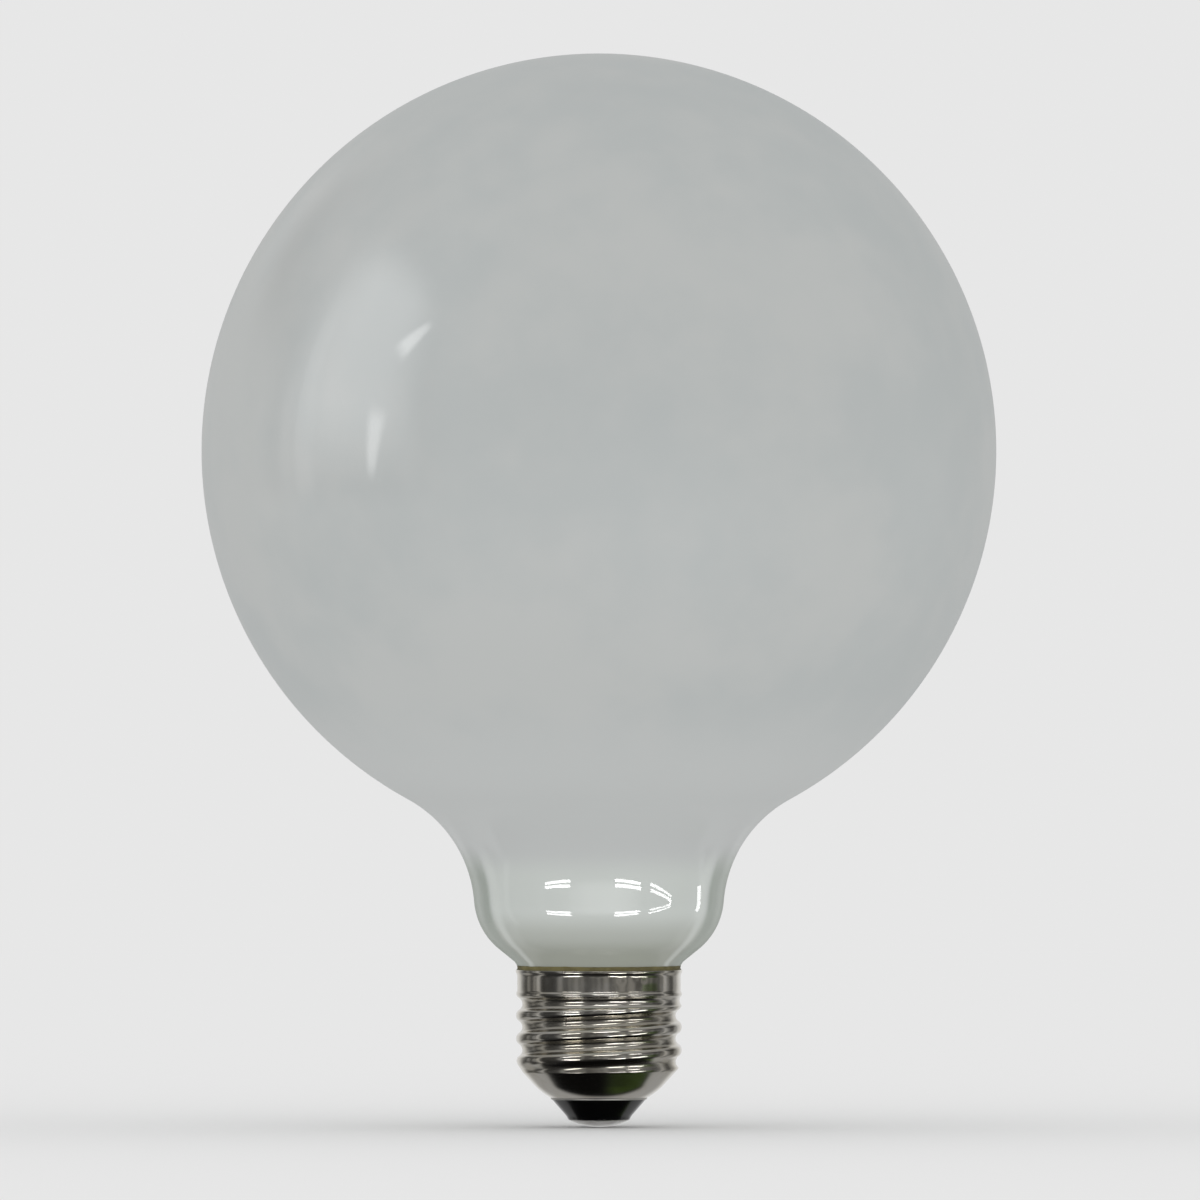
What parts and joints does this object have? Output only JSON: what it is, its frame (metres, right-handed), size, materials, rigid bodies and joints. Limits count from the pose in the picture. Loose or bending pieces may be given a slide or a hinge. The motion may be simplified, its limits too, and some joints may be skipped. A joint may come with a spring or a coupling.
{
  "type": "globe bulb",
  "caption": "Opal glass globe bulb on a bulged neck, with a nickel-plated round-thread screw cap, black glass insulator and domed centre contact.",
  "frame": {"origin": "tip of the centre contact, on the bulb's axis", "axes": "+Z along the bulb's axis from the screw cap to the globe; the bulb has no front"},
  "size_m": [0.125, 0.125, 0.1688],
  "materials": {
    "opal_glass": "polished, opal white from the inside coating",
    "cement": "matt olive-brown basing cement",
    "nickel": "bright nickel plate",
    "black_glass": "glossy black glass",
    "tin": "dull tinned metal"
  },
  "bodies": {
    "root": {"glass_globe": "opal_glass", "basing_cement": "cement", "screw_shell": "nickel", "insulator": "black_glass", "centre_contact": "tin"}
  },
  "joints": []
}
